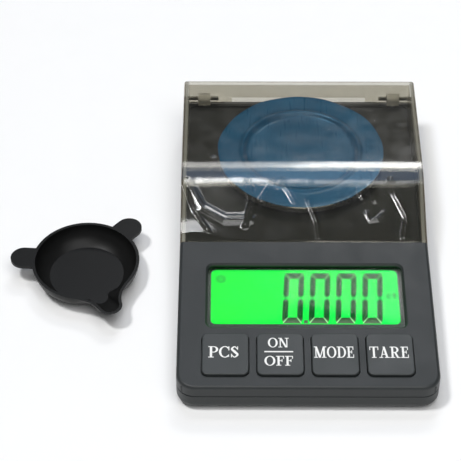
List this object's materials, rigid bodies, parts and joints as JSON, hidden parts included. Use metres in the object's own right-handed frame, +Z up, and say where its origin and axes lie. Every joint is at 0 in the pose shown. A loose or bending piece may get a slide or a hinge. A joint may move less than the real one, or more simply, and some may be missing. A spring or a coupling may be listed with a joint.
{
  "type": "pocket carat scale",
  "caption": "Black pocket carat scale with green display, function keys, round pan under a hinged clear cover, and a loose gem tray.",
  "frame": {"origin": "on the table under the centre of the case, in the plane of the standing rim under it", "axes": "+X to the right, -Y towards the user at the keys, +Z up"},
  "size_m": [0.1267, 0.124, 0.0202],
  "materials": {
    "case_plastic": "fine moulded grain",
    "key_plastic": "satin moulded keys with pale printed words",
    "clear_cover": "clear acrylic, faintly smoked",
    "clear_film": "thin loose protective film",
    "blue_film": "blue protective film",
    "pan_steel": "brushed",
    "clear_window": "clear polished",
    "lit_display": "green lit liquid crystal display",
    "backlight": "light guide",
    "contact_rubber": "layered elastomer",
    "circuit_board": "solder mask",
    "chip_resin": "moulded resin",
    "switch_plastic": "moulded",
    "cell_steel": "polished can",
    "contact_metal": "nickel-plated strip",
    "wire_red": "insulation",
    "wire_black": "insulation",
    "wire_white": "insulation",
    "beam_aluminium": "machined",
    "silicone": "poured coating",
    "screw_steel": "zinc-plated",
    "foot_rubber": "matte",
    "tray_plastic": "satin moulded"
  },
  "bodies": {
    "case": {"lower_case": "case_plastic", "upper_case": "case_plastic", "case_screws": "screw_steel", "load_cell_screws": "screw_steel", "rubber_feet": "foot_rubber", "board_screws": "screw_steel", "hinge_lugs": "clear_cover", "hinge_pins": "clear_cover", "lcd_window": "clear_window", "lcd_glass": "lit_display", "lcd_backlight": "backlight", "contact_strips": "contact_rubber", "main_board": "circuit_board", "controller_blob": "chip_resin", "converter_chip": "chip_resin", "key_switches": "switch_plastic", "battery_holder": "case_plastic", "coin_cell_left": "cell_steel", "coin_cell_right": "cell_steel", "contact_bridge": "contact_metal", "contact_positive": "contact_metal", "contact_negative": "contact_metal", "battery_wire_red": "wire_red", "battery_wire_black": "wire_black", "load_cell_wires": "wire_white", "load_cell": "beam_aluminium", "gauge_coating": "silicone"},
    "cover": {"cover": "clear_cover", "cover_film": "clear_film"},
    "pan": {"weighing_pan": "pan_steel", "pan_film": "blue_film", "pan_support": "case_plastic", "support_screw": "screw_steel"},
    "battery_door": {"battery_door": "case_plastic"},
    "gem_tray": {"weighing_tray": "tray_plastic"},
    "key_pcs": {"key_pcs": "key_plastic"},
    "key_on_off": {"key_on_off": "key_plastic"},
    "key_mode": {"key_mode": "key_plastic"},
    "key_tare": {"key_tare": "key_plastic"}
  },
  "joints": [
    {"name": "cover_hinge", "type": "hinge", "parent": "case", "child": "cover", "pos_m": [0, 0.0602, 0.0129], "axis": [-1, 0, 0], "range_deg": [0, 110]},
    {"name": "pan_press", "type": "slide", "parent": "case", "child": "pan", "axis": [0, 0, -1], "range_m": [0, 0.0003], "stiffness_N_per_m": 1800, "deforming": ["load_cell", "gauge_coating", "load_cell_wires"]},
    {"name": "battery_door_slide", "type": "slide", "parent": "case", "child": "battery_door", "axis": [0, 1, 0], "range_m": [0, 0.026]},
    {"name": "gem_tray_lift", "type": "slide", "parent": "case", "child": "gem_tray", "axis": [0, 0, 1], "range_m": [0, 0.06]},
    {"name": "key_pcs_press", "type": "slide", "parent": "case", "child": "key_pcs", "axis": [0, 0.0436, -0.999], "range_m": [0, 0.0004], "stiffness_N_per_m": 1500},
    {"name": "key_on_off_press", "type": "slide", "parent": "case", "child": "key_on_off", "axis": [0, 0.0436, -0.999], "range_m": [0, 0.0004], "stiffness_N_per_m": 1500},
    {"name": "key_mode_press", "type": "slide", "parent": "case", "child": "key_mode", "axis": [0, 0.0436, -0.999], "range_m": [0, 0.0004], "stiffness_N_per_m": 1500},
    {"name": "key_tare_press", "type": "slide", "parent": "case", "child": "key_tare", "axis": [0, 0.0436, -0.999], "range_m": [0, 0.0004], "stiffness_N_per_m": 1500}
  ]
}
